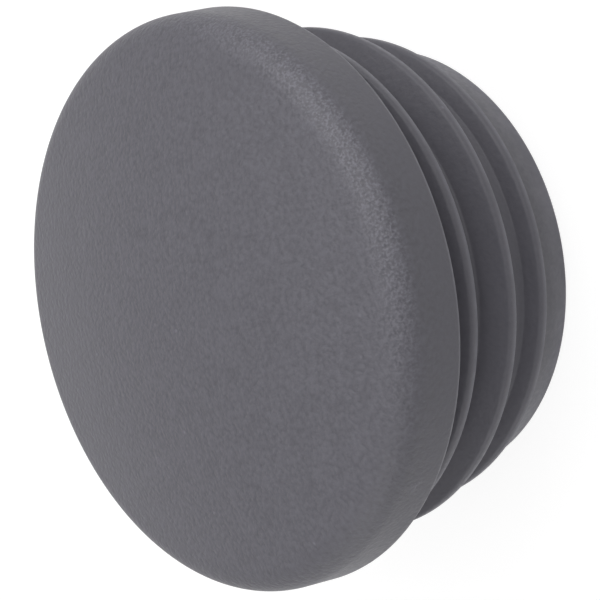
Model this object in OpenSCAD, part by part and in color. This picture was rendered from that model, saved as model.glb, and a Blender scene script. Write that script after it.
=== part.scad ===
// Plastic end cap for a round tube: a domed head over a hollow stem with three flexible fins.
// One moulding, turned about Z. The open end stands on z = 0 and the head faces up.
// All sizes are in mm and all angles in degrees.

/* [Head] */
// Largest diameter of the head, at its lower edge, level with the outside of the tube
head_d = 48.3; // [47.5:0.1:52]
// Height of the head's straight side, up to the shoulder
wall_h = 3.6; // [2:0.05:5]
// Angle the head's side leans inwards
wall_draft = 4; // [1:0.5:6]
// Rounding of the head's lower edge
edge_round = 0.5; // [0.2:0.05:0.7]
// Radius of the shoulder between the side and the face
shoulder_r = 2.7; // [2:0.1:5]
// Slope of the crowned face where it meets the shoulder
crown_slope = 11; // [6:0.5:14]
// Thickness of the crown over the hollow, at the middle
roof_t = 3; // [2.4:0.1:4]

/* [Stem] */
// Length of the stem, from the seat under the head to the open end
stem_len = 18.3; // [17.6:0.1:24]
// Outside diameter of the stem under the head
core_d = 38.8; // [38.5:0.1:39.6]
// Height of the cone that joins the stem to the seat
neck_h = 1.2; // [0.6:0.1:1.8]
// Outside diameter of the stem at its open end
end_d = 38.4; // [37.5:0.1:38.7]
// Rounding of the outer edge at the open end
end_round = 0.5; // [0.2:0.05:0.8]

/* [Fins] */
// Diameter of the first two fins, which grip the tube
fin_d = 43.7; // [43.2:0.1:45]
// Diameter of the last fin, which leads the cap into the tube
lead_fin_d = 41.3; // [40.6:0.1:42.6]
// Distance from the seat to the middle of the first fin
first_fin = 3.9; // [3.6:0.1:4.4]
// Distance from the seat to the middle of the second fin
second_fin = 8.4; // [8:0.1:9]
// Distance from the seat to the middle of the last fin
lead_fin = 13.5; // [13:0.1:14]
// Thickness of a fin at its rim
fin_t = 0.8; // [0.7:0.05:1.1]
// Angle each face of a fin leans, so that it thickens towards the stem
fin_draft = 20; // [12:1:24]
// Rounding on each edge of a fin's rim
fin_round = 0.35; // [0.2:0.05:0.4]

/* [Hollow] */
// Diameter of the hollow at the open end
hollow_d = 34.6; // [33:0.1:35.2]
// Draft of the hollow's side
draft = 1; // [0.5:0.25:2]
// Rounding where the hollow's side meets its roof
hollow_round = 4; // [3:0.25:6]

/* [Hidden] */
$fn = 96;
// Play between the grip fins and the inner edge of the seat
seat_play = 0.1;
// Height of the seat over the open end
seat_z = stem_len;
// Where the seat's ring begins, just outside the grip fins
seat_r = fin_d / 2 + seat_play;
// Outwards, square to the head's leaning side
side_x = cos(wall_draft);
side_z = sin(wall_draft);
// The lower edge's circle, tangent to the side and the seat
edge_x = head_d / 2 - edge_round * side_x;
edge_z = seat_z + edge_round;
// Where the side begins above that circle, and where it ends
wall_foot_z = edge_z + edge_round * side_z;
wall_top_z = seat_z + wall_h;
wall_top_x = head_d / 2 - (wall_top_z - wall_foot_z) * tan(wall_draft);
// The shoulder's circle, tangent to the side
shoulder_x = wall_top_x - shoulder_r * side_x;
shoulder_z = wall_top_z - shoulder_r * side_z;
// The crown's circle, tangent to the shoulder's
crown_r = shoulder_r + shoulder_x / sin(crown_slope);
crown_z = shoulder_z - shoulder_x / tan(crown_slope);
top_z = crown_z + crown_r;
// The stem's taper, as the growth of its radius with height
stem_slope = (core_d - end_d) / 2 / (stem_len - end_round);
// How far a fin's section runs into the stem's wall
fin_root = 0.5;
// A fin's face, as the loss of its height with radius
fin_slope = tan(fin_draft);
// Height of a rim circle's centre over the middle of its fin
rim_bend = fin_t / 2 + fin_round * fin_slope - fin_round / cos(fin_draft);
// The hollow's roof corner, tangent to its drafted side
roof_z = top_z - roof_t;
corner_z = roof_z - hollow_round;
corner_x = hollow_d / 2 - (hollow_round + corner_z * sin(draft)) / cos(draft);

// Radius of the stem at height z
function stem_at(z) = end_d / 2 + (z - end_round) * stem_slope;

// Half the thickness of a fin of diameter d at radius x
function fin_half(d, x) = fin_t / 2 + (d / 2 - x) * fin_slope;

// The domed head: crown, shoulder, leaning side and rounded lower edge
module head_section() {
    intersection() {
        translate([0, seat_z]) square([head_d, head_d]);
        union() {
            intersection() {
                translate([0, crown_z]) circle(r = crown_r);
                polygon([
                    [0, crown_z],
                    [1.2 * crown_r * sin(crown_slope), crown_z + 1.2 * crown_r * cos(crown_slope)],
                    [0, crown_z + 1.2 * crown_r]
                ]);
            }
            translate([shoulder_x, shoulder_z]) circle(r = shoulder_r);
            polygon([
                [0, seat_z],
                [edge_x, seat_z],
                [head_d / 2, wall_foot_z],
                [wall_top_x, wall_top_z],
                [shoulder_x, shoulder_z],
                [0, shoulder_z]
            ]);
            translate([edge_x, edge_z]) circle(r = edge_round);
        }
    }
}

// The tapered stem, with its neck cone under the head and a rounded open end
module stem_section() {
    polygon([
        [0, end_round],
        [end_d / 2, end_round],
        [stem_at(seat_z - neck_h), seat_z - neck_h],
        [seat_r, seat_z],
        [0, seat_z]
    ]);
    square([end_d / 2 - end_round, end_round]);
    translate([end_d / 2 - end_round, end_round]) circle(r = end_round);
}

// One fin of diameter d, its middle at height z: leaning faces and a rounded rim
module fin_section(d, z) {
    rim_x = d / 2 - fin_round;
    root_x = stem_at(z) - fin_root;
    bend_x = rim_x + fin_round * sin(fin_draft);
    polygon([
        [root_x, z - fin_half(d, root_x)],
        [bend_x, z - fin_half(d, bend_x)],
        [bend_x, z + fin_half(d, bend_x)],
        [root_x, z + fin_half(d, root_x)]
    ]);
    translate([rim_x, z - rim_bend]) square([fin_round, 2 * rim_bend]);
    for (side = [-1, 1])
        translate([rim_x, z + side * rim_bend]) circle(r = fin_round);
}

// The hollow, open at the bottom and rounded under the roof
module hollow_section() {
    polygon([
        [0, -1],
        [hollow_d / 2 + tan(draft), -1],
        [corner_x + hollow_round * cos(draft), corner_z + hollow_round * sin(draft)],
        [corner_x, corner_z],
        [0, corner_z]
    ]);
    square([corner_x, roof_z]);
    translate([corner_x, corner_z]) circle(r = hollow_round);
}

// The whole cap, one moulding
module end_cap() {
    color([0.36, 0.36, 0.39])
    rotate_extrude()
    difference() {
        union() {
            head_section();
            stem_section();
            fin_section(fin_d, seat_z - first_fin);
            fin_section(fin_d, seat_z - second_fin);
            fin_section(lead_fin_d, seat_z - lead_fin);
        }
        hollow_section();
    }
}

end_cap();
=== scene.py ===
"""Plastic end cap for a round tube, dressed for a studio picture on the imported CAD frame."""

import math

import bpy
import numpy as np
from bpy.props import FloatProperty, FloatVectorProperty, IntProperty, PointerProperty
from mathutils import Matrix, Vector


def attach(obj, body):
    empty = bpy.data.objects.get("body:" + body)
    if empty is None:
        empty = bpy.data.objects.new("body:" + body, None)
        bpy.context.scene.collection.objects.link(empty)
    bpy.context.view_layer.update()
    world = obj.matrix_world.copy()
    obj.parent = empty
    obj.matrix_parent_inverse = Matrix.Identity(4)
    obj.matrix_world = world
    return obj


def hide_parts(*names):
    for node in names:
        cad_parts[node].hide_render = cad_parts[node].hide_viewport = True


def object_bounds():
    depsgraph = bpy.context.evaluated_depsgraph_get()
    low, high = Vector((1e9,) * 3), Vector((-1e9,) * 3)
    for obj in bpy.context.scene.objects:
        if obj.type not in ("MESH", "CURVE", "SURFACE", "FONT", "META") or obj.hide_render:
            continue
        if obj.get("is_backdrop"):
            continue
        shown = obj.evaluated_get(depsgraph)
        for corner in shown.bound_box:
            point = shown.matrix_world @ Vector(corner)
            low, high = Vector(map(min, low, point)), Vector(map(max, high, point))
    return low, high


bl_info = {
    "name": "Tube End Cap",
    "version": (1, 0, 0),
    "blender": (4, 5, 0),
    "location": "View3D > Sidebar > End Cap",
    "description": "Builds a moulded plastic tube end cap with its finish, floor, lights and camera",
    "category": "Object",
}

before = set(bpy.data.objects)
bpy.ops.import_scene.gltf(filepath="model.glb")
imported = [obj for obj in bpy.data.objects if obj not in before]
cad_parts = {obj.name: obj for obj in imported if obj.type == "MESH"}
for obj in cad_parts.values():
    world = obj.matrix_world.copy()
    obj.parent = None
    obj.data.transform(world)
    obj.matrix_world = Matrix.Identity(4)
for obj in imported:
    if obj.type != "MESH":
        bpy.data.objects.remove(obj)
CAD_BOX = [list(corner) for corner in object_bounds()]
CAP_NODE = "end_cap"
EDGE = "edge"
# Gap between the grip fins and the inner edge of the seat
SEAT_PLAY = 0.0001
# Mottling: how much the clouds add to the grain, and the sums that give the darkest and the lightest tone
CLOUD_SHARE = 0.15
MOTTLE_RANGE = (0.37, 0.78)
# Flecks: their size as a share of the grain, and the noise values where they begin and are full
FLECK_SIZE = 0.5
FLECK_RANGE = (0.44, 0.7)
# Painted highlight on one side of the shoulder, pale flecks where light glints on the grain: depths under the
# brow where its lower and upper ends begin and are full
HIGHLIGHT_LOW = (0.0023, 0.0016)
HIGHLIGHT_HIGH = (0.0001, 0.0006)
# Where the painted highlight begins and is full along its direction, as shares of the head's radius, and its
# strength
HIGHLIGHT_REACH = (0.45, 0.95)
HIGHLIGHT_STRENGTH = 0.9
# Painted highlight on the lower edge roundings, where light catches them: cloud values where it is weakest
# and full, and its weakest share
EDGE_GLINT_RANGE = (0.3, 0.6)
EDGE_GLINT_LEAST = 0.5
# Roughness: noise values where the skin is smoothest and roughest, and how far it varies to each side
ROUGH_RANGE = (0.3, 0.7)
ROUGH_SPREAD = 0.08
# Height of the line seen as the head's lower edge, as a share of its rounding
EDGE_SEEN = 0.35
SENSOR_WIDTH = 36.0
NEAREST_VIEW = 0.005
FLOOR_HALF = 1.5
FLOOR_ROUGHNESS = 0.9
# Heights between which the sky's light passes from one strength to the other
HORIZON = (-0.1, 0.1)
WHITE = (1, 1, 1, 1)
LIGHT_DISTANCE = 0.6
# Each softbox: name, direction from the cap, width, height and power in watts
SOFTBOXES = (
    ("right", (0.8, -0.15, 0.58), 0.6, 0.35, 0.95),
    ("front", (0.05, -0.81, 0.59), 0.4, 0.35, 0.25),
    ("front_right", (0.5, -0.65, 0.57), 0.35, 0.35, 0.7),
    ("left", (-0.78, 0.0, 0.6), 0.6, 0.35, 0.75),
    ("low_left", (-0.98, 0.0, 0.2), 0.4, 0.16, 0.5),
    ("over", (0.47, 0.0, 0.88), 0.4, 0.4, 0.8),
    ("zenith", (0.0, 0.1, 1.0), 0.4, 0.4, 0.45),
    ("back", (0.0, 0.97, 0.2), 0.7, 0.16, 0.55),
)


def length(name, description, default):
    """A length in metres for the sidebar."""
    return FloatProperty(name=name, description=description, default=default, unit="LENGTH", precision=5)


def angle(name, description, degrees):
    """An angle for the sidebar, given in degrees."""
    return FloatProperty(name=name, description=description, default=math.radians(degrees), subtype="ANGLE")


def share(name, description, default, low=0.0, high=1.0):
    """A plain number between two limits."""
    limits = {"min": low, "max": high}
    return FloatProperty(name=name, description=description, default=default, precision=4, **limits)


def colour(name, description, default):
    """A linear colour."""
    return FloatVectorProperty(name=name, description=description, default=default, size=3, subtype="COLOR")


class EndCapShape(bpy.types.PropertyGroup):
    """Sizes of the moulding."""

    head_d: length("Head diameter", "Widest part of the head", CAD_BOX[1][0] - CAD_BOX[0][0])
    wall_h: length("Wall height", "Straight side of the head, up to the shoulder", 0.0036)
    wall_draft: angle("Wall draft", "How far the head's side leans inwards", 4.0)
    edge_round: length("Edge rounding", "Rounding of the head's lower edge", 0.0005)
    shoulder_r: length("Shoulder radius", "Rounding between the head's side and its face", 0.0027)
    crown_slope: angle("Crown slope", "Slope of the face where it meets the shoulder", 11.0)
    roof_t: length("Crown thickness", "Thickness of the head over the hollow", 0.003)
    stem_len: length("Stem length", "From the seat under the head to the open end", 0.0183)
    core_d: length("Stem diameter", "Stem under the head", 0.0388)
    neck_h: length("Neck height", "Cone that joins the stem to the seat", 0.0012)
    end_d: length("End diameter", "Stem at its open end", 0.0384)
    end_round: length("End rounding", "Outer edge of the open end", 0.0005)
    fin_d: length("Grip fin diameter", "First two fins", 0.0437)
    lead_fin_d: length("Lead fin diameter", "Last fin", 0.0413)
    first_fin: length("First fin", "Seat to the middle of the first fin", 0.0039)
    second_fin: length("Second fin", "Seat to the middle of the second fin", 0.0084)
    lead_fin: length("Lead fin", "Seat to the middle of the last fin", 0.0135)
    fin_t: length("Fin thickness", "Thickness at the rim", 0.0008)
    fin_draft: angle("Fin draft", "How far each face of a fin leans", 20.0)
    fin_round: length("Fin rounding", "Edges of the rim", 0.00035)
    hollow_d: length("Hollow diameter", "Hollow at the open end", 0.0346)
    draft: angle("Draft", "Draft of the hollow's side", 1.0)
    hollow_round: length("Hollow rounding", "Corner between the hollow's side and its roof", 0.004)
    steps: IntProperty(name="Steps around", description="Faces around the cap", default=360, min=24)


class EndCapFinish(bpy.types.PropertyGroup):
    """Look of the grey plastic."""

    plastic: colour("Plastic", "Colour of the plastic", (0.125, 0.122, 0.142))
    roughness: share("Roughness", "Roughness of the skin", 0.5)
    grain: length("Grain size", "Size of the moulded grain", 0.0004)
    grain_depth: length("Grain depth", "Height of the moulded grain", 0.00012)
    mottle: share("Mottling", "How far the colour varies to each side", 0.16)
    cloud: length("Cloud size", "Size of the cloudy mottling", 0.0025)
    speck_spacing: length("Speck spacing", "Mean distance between pale specks", 0.0036)
    speck_r: length("Speck radius", "Reach of a pale speck", 0.00022)
    scuff_spacing: length("Scuff spacing", "Mean distance between scuffs", 0.009)
    scuff_r: length("Scuff radius", "Reach of a scuff", 0.0009)
    # Side of the shoulder that carries the painted highlight's pale flecks
    highlight_turn: angle("Highlighted side", "Direction from the axis to the middle of the handled stretch", -62.0)
    stem_grain: share("Stem grain", "Grain of the stem and its hollow, as a share of the face's", 0.35)
    # Lighter tone of the real scuffs and specks, also used for the painted highlights on the shoulder and the
    # lower edge roundings
    worn_and_highlight: share("Lighter shade", "How much lighter scuffs and rubbed edges are", 1.65, 1.0, 3.0)


class EndCapStage(bpy.types.PropertyGroup):
    """Camera, floor and lights."""

    lens: FloatProperty(name="Lens", description="Focal length in mm", default=109.4, unit="CAMERA")
    tilt: angle("Tilt", "Angle between the view and the cap's axis", 48.89)
    roll: angle("Roll", "How far the cap's axis leans in the picture", -13.097)
    distance: length("Distance", "Camera to the plane of the head's lower edge", 0.1518)
    right: length("Right", "The edge's centre, right of the middle of the view", -0.004483)
    down: length("Down", "The edge's centre, below the middle of the view", -0.000061)
    floor_colour: colour("Floor", "Colour of the floor", (0.25, 0.25, 0.25))
    floor_glow: share("Floor glow", "Light the floor gives off, as a lit table does", 0.85, 0.0, 5.0)
    sky: share("Sky", "Strength of the light from all round above the floor", 0.235, 0.0, 10.0)
    under: share("Underlight", "Strength of the light from all round below the floor", 0.15, 0.0, 10.0)


def settings():
    """The scene's shape, finish and stage values."""
    scene = bpy.context.scene
    return scene.end_cap_shape, scene.end_cap_finish, scene.end_cap_stage


def arc(centre, radius, start, end, count):
    """Points on a circle between two angles in degrees, counted from outwards towards up."""
    turn = np.radians(np.linspace(start, end, count))
    return np.column_stack((centre[0] + radius * np.cos(turn), centre[1] + radius * np.sin(turn)))


def straight(start, end, count):
    """Evenly spaced points on a straight line."""
    return np.linspace(start, end, count)


def fin_outline(stem, stem_slope, rim_r, middle, shape):
    """One fin from its upper foot round its rim to its lower foot: leaning face, rounded rim, and back.

    A face leans by the draft, so it is thickness / 2 off the middle at the rim and more towards the stem.
    The rim's circles touch the rim and a face. The stem is a cone of radius stem at height 0 that grows by
    its slope with height, and a foot is where a face's line crosses the cone's. The second value of each
    stretch is 1 on the rim's lower rounding, where the plastic is lightened as a painted highlight.
    """
    lean, rounding = shape.fin_draft, shape.fin_round
    slope, degrees = math.tan(lean), math.degrees(lean)
    bend = shape.fin_t / 2 + rounding * slope - rounding / math.cos(lean)
    reach = shape.fin_t / 2 + (rim_r - stem) * slope
    upper_z = (middle + reach) / (1 + slope * stem_slope)
    lower_z = (middle - reach) / (1 - slope * stem_slope)
    upper_rim = arc((rim_r - rounding, middle + bend), rounding, 90 - degrees, 0, 8)
    lower_rim = arc((rim_r - rounding, middle - bend), rounding, 0, degrees - 90, 8)
    return [
        (straight((stem + upper_z * stem_slope, upper_z), upper_rim[0], 12), 0),
        (upper_rim, 0),
        (lower_rim, 1),
        (straight(lower_rim[-1], (stem + lower_z * stem_slope, lower_z), 12), 0),
    ]


def cap_outline(shape):
    """Half section of the cap as radius and height, from the crown's top, down the outside and up the hollow.

    The crown is a large circle tangent to the shoulder's circle, and the shoulder is tangent to the drafted
    side. A small rounding leads on to the seat. A flat cone joins the seat, from just outside the first fin,
    to the stem, which is a steep cone with three fins. The hollow is a cone too. Each point also has a value
    that is 1 on the roundings of the lower outer edges, where a highlight is painted, and 0 elsewhere.
    """
    seat = shape.stem_len
    core_r, end_r = shape.core_d / 2, shape.end_d / 2
    stem_slope = (core_r - end_r) / (seat - shape.end_round)
    stem = end_r - shape.end_round * stem_slope
    slope, lean, draft = shape.crown_slope, shape.wall_draft, shape.draft
    out = np.array((math.cos(lean), math.sin(lean)))
    small = shape.edge_round
    edge = np.array((shape.head_d / 2 - small * out[0], seat + small))
    wall_foot = edge + small * out
    wall_top = wall_foot + (seat + shape.wall_h - wall_foot[1]) * np.array((-math.tan(lean), 1))
    shoulder = wall_top - shape.shoulder_r * out
    crown_r = shape.shoulder_r + shoulder[0] / math.sin(slope)
    crown_z = shoulder[1] - shoulder[0] / math.tan(slope)
    top = crown_z + crown_r
    neck_x = shape.fin_d / 2 + SEAT_PLAY
    neck_z = seat - shape.neck_h
    roof = top - shape.roof_t
    corner_z = roof - shape.hollow_round
    corner_x = shape.hollow_d / 2 - (shape.hollow_round + corner_z * math.sin(draft)) / math.cos(draft)
    side = corner_x + shape.hollow_round * math.cos(draft), corner_z + shape.hollow_round * math.sin(draft)
    fins = []
    for width, below in (
        (shape.fin_d, shape.first_fin),
        (shape.fin_d, shape.second_fin),
        (shape.lead_fin_d, shape.lead_fin),
    ):
        fins += fin_outline(stem, stem_slope, width / 2, seat - below, shape)
    parts = [
        (arc((0, crown_z), crown_r, 90, 90 - math.degrees(slope), 24), 0),
        (arc(shoulder, shape.shoulder_r, 90 - math.degrees(slope), math.degrees(lean), 36), 0),
        (straight(wall_top, wall_foot, 10), 0),
        (arc(edge, small, math.degrees(lean), -90, 6), 1),
        (straight((edge[0], seat), (neck_x, seat), 5), 0),
        (straight((neck_x, seat), (stem + neck_z * stem_slope, neck_z), 6), 0),
        *fins,
        (arc((end_r - shape.end_round, shape.end_round), shape.end_round, 0, -90, 6), 1),
        (straight((end_r - shape.end_round, 0), (shape.hollow_d / 2, 0), 5), 0),
        (straight((shape.hollow_d / 2, 0), side, 12), 0),
        (arc((corner_x, corner_z), shape.hollow_round, math.degrees(draft), 90, 12), 0),
        (straight((corner_x, roof), (0, roof), 8), 0),
    ]
    points = np.concatenate([stretch for stretch, _ in parts])
    edges = np.concatenate([np.full(len(stretch), is_edge, float) for stretch, is_edge in parts])
    kept = np.ones(len(points), bool)
    kept[1:] = np.linalg.norm(np.diff(points, axis=0), axis=1) > 1e-7
    return points[kept], edges[kept]


def turned_mesh(name, outline, edges, steps):
    """Mesh of an outline turned about Z: point (r, z) at turn t lies at (r cos t, r sin t, z).

    The first and last points are on the axis and become single poles, joined to their rings by triangles.
    The outline's edge values become an attribute of the points.
    """
    rings = outline[1:-1]
    turn = np.linspace(0, 2 * np.pi, steps, endpoint=False)
    radius = rings[:, 0][:, None]
    height = np.repeat(rings[:, 1][:, None], steps, 1)
    grid = np.stack((radius * np.cos(turn), radius * np.sin(turn), height), -1)
    poles = np.array([[0, 0, outline[0, 1]], [0, 0, outline[-1, 1]]])
    points = np.concatenate((grid.reshape(-1, 3), poles))
    number = np.arange(len(rings) * steps).reshape(len(rings), steps)
    beside = np.roll(number, -1, 1)
    quads = np.stack((number[:-1], number[1:], beside[1:], beside[:-1]), -1).reshape(-1, 4)
    first, last = len(points) - 2, len(points) - 1
    cap_top = np.column_stack((np.full(steps, first), number[0], beside[0]))
    cap_roof = np.column_stack((number[-1], np.full(steps, last), beside[-1]))
    corners = np.concatenate((quads.ravel(), cap_top.ravel(), cap_roof.ravel()))
    sizes = np.concatenate((np.full(len(quads), 4), np.full(2 * steps, 3)))
    mesh = bpy.data.meshes.new(name)
    mesh.vertices.add(len(points))
    mesh.vertices.foreach_set("co", points.astype(np.float32).ravel())
    mesh.loops.add(len(corners))
    mesh.loops.foreach_set("vertex_index", corners.astype(np.int32))
    mesh.polygons.add(len(sizes))
    mesh.polygons.foreach_set("loop_start", np.concatenate(([0], np.cumsum(sizes)[:-1])).astype(np.int32))
    mesh.polygons.foreach_set("use_smooth", np.ones(len(sizes), bool))
    mesh.update(calc_edges=True)
    mesh.validate()
    around = np.concatenate((np.repeat(edges[1:-1], steps), edges[[0, -1]]))
    mesh.attributes.new(EDGE, "FLOAT", "POINT").data.foreach_set("value", around.astype(np.float32))
    return mesh


class Skin:
    """Node tools for one material, all reading the same Object coordinates."""

    def __init__(self, name):
        self.material = bpy.data.materials.new(name)
        self.material.use_nodes = True
        self.tree = self.material.node_tree
        self.shader = self.tree.nodes["Principled BSDF"]
        self.place = self.tree.nodes.new("ShaderNodeTexCoord").outputs["Object"]

    def node(self, kind, inputs, output, **settings):
        """A new node with its settings, its input values or links, and the output wanted."""
        made = self.tree.nodes.new(kind)
        for name, value in settings.items():
            setattr(made, name, value)
        for name, value in inputs.items():
            if isinstance(value, bpy.types.NodeSocket):
                self.tree.links.new(value, made.inputs[name])
            else:
                made.inputs[name].default_value = value
        return made.outputs[output]

    def noise(self, size, detail):
        """Cloudy noise with features of one size."""
        inputs = {"Vector": self.place, "Scale": 1 / size, "Detail": detail}
        return self.node("ShaderNodeTexNoise", inputs, "Fac")

    def spots(self, spacing, radius):
        """A mask that is 1 at scattered points of one mean spacing and fades to 0 at a radius from them."""
        far = self.node("ShaderNodeTexVoronoi", {"Vector": self.place, "Scale": 1 / spacing}, "Distance")
        return self.ramp(far, radius / spacing, 0.0, 0.0, 1.0)

    def ramp(self, value, low, high, low_to, high_to):
        """A value carried from one range to another and held at its ends."""
        ends = {"From Min": low, "From Max": high, "To Min": low_to, "To Max": high_to}
        return self.node("ShaderNodeMapRange", {"Value": value, **ends}, "Result")

    def maths(self, operation, *values):
        """One sum of two or three values."""
        return self.node("ShaderNodeMath", dict(enumerate(values)), 0, operation=operation)

    def blend(self, mask, first, second):
        """One colour where the mask is 0 and another where it is 1.

        A Mix node has its colours at inputs 6 and 7 and its mixed colour at output 2.
        """
        return self.node("ShaderNodeMix", {0: mask, 6: first, 7: second}, 2, data_type="RGBA")


def painted_highlight_stretch(skin, shape, finish, height):
    """A mask of the painted highlight on the shoulder: pale flecks on one side stand in for light glinting on
    the grain.

    It lies between two heights, a little under the brow where the shoulder meets the face, and fades with
    the distance from the axis, measured in the highlighted direction.
    """
    head_r = shape.head_d / 2
    brow = shape.stem_len + shape.wall_h + shape.shoulder_r
    towards = (math.cos(finish.highlight_turn), math.sin(finish.highlight_turn), 0)
    inputs = {0: skin.place, 1: towards}
    out = skin.node("ShaderNodeVectorMath", inputs, "Value", operation="DOT_PRODUCT")
    above = skin.ramp(height, brow - HIGHLIGHT_LOW[0], brow - HIGHLIGHT_LOW[1], 0.0, 1.0)
    below = skin.ramp(height, brow - HIGHLIGHT_HIGH[0], brow - HIGHLIGHT_HIGH[1], 0.0, 1.0)
    begin, full = (reach * head_r for reach in HIGHLIGHT_REACH)
    on_side = skin.ramp(out, begin, full, 0.0, HIGHLIGHT_STRENGTH)
    return skin.maths("MULTIPLY", skin.maths("MULTIPLY", above, below), on_side)


def grey_plastic(shape, finish):
    """Matte grey moulded plastic: spark-eroded grain, cloudy mottling, pale specks, scuffs and lower edge
    roundings lightened as a painted highlight.

    The grain is full on the face and calmer on the stem. Pale flecks make up the scuffs, and lie close
    together on one side of the shoulder as a painted highlight, where light glints on the grain.
    """
    skin = Skin("grey_plastic")
    seat = shape.stem_len
    height = skin.node("ShaderNodeSeparateXYZ", {0: skin.place}, "Z")
    grain_now = skin.ramp(height, seat, seat + shape.wall_h, finish.stem_grain, 1.0)
    # Painted highlight: pale flecks on one side of the shoulder, where light glints on the grain
    highlighted = painted_highlight_stretch(skin, shape, finish, height)
    tone = np.array(finish.plastic)
    dark = (*(tone * (1 - finish.mottle)), 1)
    light = (*(tone * (1 + finish.mottle)), 1)
    # Pale tone for the scuffs and specks, and for the painted highlights
    worn_and_highlight = (*(tone * finish.worn_and_highlight), 1)
    fine = skin.noise(finish.grain, 2.0)
    cloud = skin.noise(finish.cloud, 3.0)
    mottling = skin.ramp(skin.maths("MULTIPLY_ADD", cloud, CLOUD_SHARE, fine), *MOTTLE_RANGE, -0.5, 0.5)
    mottling = skin.maths("MULTIPLY_ADD", mottling, grain_now, 0.5)
    flecks = skin.ramp(skin.noise(FLECK_SIZE * finish.grain, 1.0), *FLECK_RANGE, 0.0, 1.0)
    # Flecks in the real scuffs at scattered spots, and in the painted highlight on the shoulder
    scuff_and_highlight_areas = skin.maths("MAXIMUM", skin.spots(finish.scuff_spacing, finish.scuff_r), highlighted)
    scuffs = skin.maths("MULTIPLY", scuff_and_highlight_areas, flecks)
    specks = skin.spots(finish.speck_spacing, finish.speck_r)
    # Painted highlight: the lower edge roundings lightened where light catches them, patchy by the clouds
    edge = skin.node("ShaderNodeAttribute", {}, "Fac", attribute_name=EDGE)
    glinting = skin.maths("MULTIPLY", edge, skin.ramp(cloud, *EDGE_GLINT_RANGE, EDGE_GLINT_LEAST, 1.0))
    # Real scuffs and specks, and the painted highlights, all take the pale tone
    marks_and_highlights = skin.maths("MAXIMUM", skin.maths("MAXIMUM", scuffs, specks), glinting)
    colour_now = skin.blend(marks_and_highlights, skin.blend(mottling, dark, light), worn_and_highlight)
    smoothest, roughest = finish.roughness - ROUGH_SPREAD, finish.roughness + ROUGH_SPREAD
    rough = skin.ramp(fine, *ROUGH_RANGE, smoothest, roughest)
    relief = skin.maths("MULTIPLY", fine, grain_now)
    bump = {"Strength": 1.0, "Distance": finish.grain_depth, "Height": relief}
    inputs = skin.shader.inputs
    skin.tree.links.new(colour_now, inputs["Base Color"])
    skin.tree.links.new(rough, inputs["Roughness"])
    skin.tree.links.new(skin.node("ShaderNodeBump", bump, "Normal"), inputs["Normal"])
    return skin.material


def add_object(name, data):
    """A new object in the scene's own collection."""
    thing = bpy.data.objects.new(name, data)
    bpy.context.scene.collection.objects.link(thing)
    return thing


class ENDCAP_OT_moulding(bpy.types.Operator):
    """Build the cap's one moulding and its plastic"""

    bl_idname = "endcap.moulding"
    bl_label = "Build Moulding"

    def execute(self, context):
        shape, finish, _ = settings()
        outline, edges = cap_outline(shape)
        cap = add_object("end_cap_moulding", turned_mesh("end_cap_moulding", outline, edges, shape.steps))
        cap.data.materials.append(grey_plastic(shape, finish))
        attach(cap, "root")
        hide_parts(CAP_NODE)
        return {"FINISHED"}


def view_axes(stage):
    """The camera's right, up and backward directions in the cap's frame.

    In the picture the cap's axis leans by the roll from the horizontal, with the open end on the right and
    away from the viewer by the tilt.
    """
    tilt, roll = stage.tilt, stage.roll
    along = np.array((math.sin(tilt) * math.cos(roll), math.sin(tilt) * math.sin(roll), math.cos(tilt)))
    near = np.array((math.cos(tilt) * math.cos(roll), math.cos(tilt) * math.sin(roll), -math.sin(tilt)))
    frame_rows = np.stack((-np.cross(along, near), -near, -along))
    return frame_rows[:, 0], -frame_rows[:, 1], -frame_rows[:, 2]


def add_camera(stage, edge_height):
    """Camera placed by where the head's lower edge lies in the view."""
    right, up, back = view_axes(stage)
    centre = stage.right * right - stage.down * up - stage.distance * back
    camera = add_object("camera", bpy.data.cameras.new("camera"))
    camera.data.sensor_width = SENSOR_WIDTH
    camera.data.lens = stage.lens
    camera.data.clip_start = NEAREST_VIEW
    place = np.eye(4)
    place[:3, 0], place[:3, 1], place[:3, 2] = right, up, back
    place[:3, 3] = np.array((0, 0, edge_height)) - centre
    camera.matrix_world = Matrix(place)
    bpy.context.scene.camera = camera
    return camera


def add_softbox(name, towards, width, height, power):
    """A soft light in a direction from the cap, turned to face it."""
    light = bpy.data.lights.new(name, "AREA")
    light.shape = "RECTANGLE"
    light.size = width
    light.size_y = height
    light.energy = power
    lamp = add_object(name, light)
    direction = Vector(towards).normalized()
    lamp.location = direction * LIGHT_DISTANCE + Vector((0, 0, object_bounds()[1][2] / 2))
    lamp.rotation_mode = "QUATERNION"
    lamp.rotation_quaternion = direction.to_track_quat("Z", "Y")
    return lamp


def studio_sky(stage):
    """Even light from all round, with one strength above the horizon and another below it."""
    world = bpy.data.worlds.new("studio")
    world.use_nodes = True
    nodes, links = world.node_tree.nodes, world.node_tree.links
    place = nodes.new("ShaderNodeTexCoord")
    split = nodes.new("ShaderNodeSeparateXYZ")
    level = nodes.new("ShaderNodeMapRange")
    ends = {"From Min": HORIZON[0], "From Max": HORIZON[1], "To Min": stage.under, "To Max": stage.sky}
    for name, value in ends.items():
        level.inputs[name].default_value = value
    links.new(place.outputs["Generated"], split.inputs[0])
    links.new(split.outputs["Z"], level.inputs["Value"])
    nodes["Background"].inputs["Color"].default_value = WHITE
    links.new(level.outputs["Result"], nodes["Background"].inputs["Strength"])
    return world


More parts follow.
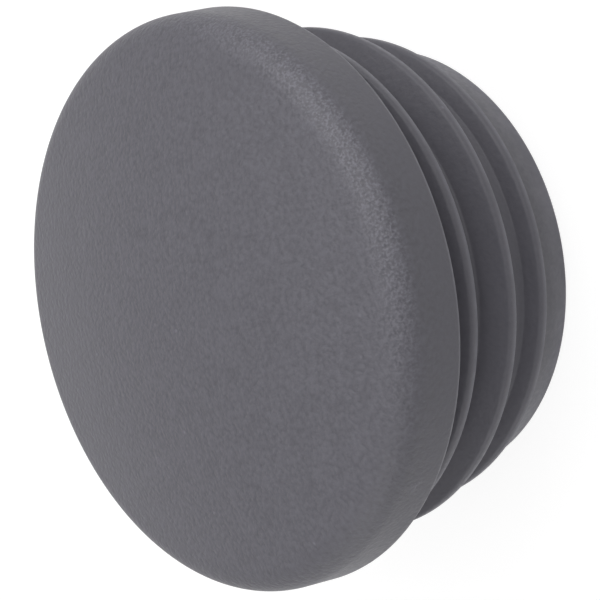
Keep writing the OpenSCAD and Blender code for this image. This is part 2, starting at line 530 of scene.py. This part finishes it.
class ENDCAP_OT_stage(bpy.types.Operator):
    """Lay the pale floor, set the soft lights and place the camera"""

    bl_idname = "endcap.stage"
    bl_label = "Build Stage"

    def execute(self, context):
        shape, _, stage = settings()
        mesh = bpy.data.meshes.new("floor")
        half = FLOOR_HALF
        corners = [(-half, -half, 0), (half, -half, 0), (half, half, 0), (-half, half, 0)]
        mesh.from_pydata(corners, [], [(0, 1, 2, 3)])
        floor = add_object("floor", mesh)
        pale = bpy.data.materials.new("pale_floor")
        pale.use_nodes = True
        inputs = pale.node_tree.nodes["Principled BSDF"].inputs
        inputs["Base Color"].default_value = (*stage.floor_colour, 1)
        inputs["Roughness"].default_value = FLOOR_ROUGHNESS
        inputs["Emission Color"].default_value = WHITE
        inputs["Emission Strength"].default_value = stage.floor_glow
        mesh.materials.append(pale)
        floor.visible_diffuse = False
        floor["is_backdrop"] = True
        context.scene.world = studio_sky(stage)
        for name, towards, width, height, power in SOFTBOXES:
            add_softbox(name, towards, width, height, power)
        add_camera(stage, shape.stem_len + EDGE_SEEN * shape.edge_round)
        context.scene.view_settings.view_transform = "Standard"
        return {"FINISHED"}


class ENDCAP_PT_panel(bpy.types.Panel):
    """Sidebar panel with the cap's values and its build steps"""

    bl_idname = "ENDCAP_PT_panel"
    bl_label = "End Cap"
    bl_space_type = "VIEW_3D"
    bl_region_type = "UI"
    bl_category = "End Cap"

    def draw(self, context):
        for group in settings():
            column = self.layout.column()
            for name in group.__annotations__:
                column.prop(group, name)
        self.layout.operator(ENDCAP_OT_moulding.bl_idname)
        self.layout.operator(ENDCAP_OT_stage.bl_idname)


CLASSES = (EndCapShape, EndCapFinish, EndCapStage, ENDCAP_OT_moulding, ENDCAP_OT_stage, ENDCAP_PT_panel)


def register():
    for item in CLASSES:
        bpy.utils.register_class(item)
    bpy.types.Scene.end_cap_shape = PointerProperty(type=EndCapShape)
    bpy.types.Scene.end_cap_finish = PointerProperty(type=EndCapFinish)
    bpy.types.Scene.end_cap_stage = PointerProperty(type=EndCapStage)


def unregister():
    del bpy.types.Scene.end_cap_stage
    del bpy.types.Scene.end_cap_finish
    del bpy.types.Scene.end_cap_shape
    for item in reversed(CLASSES):
        bpy.utils.unregister_class(item)


def main():
    """Builds the cap and its stage."""
    register()
    bpy.ops.endcap.moulding()
    bpy.ops.endcap.stage()


if __name__ == "__main__":
    main()
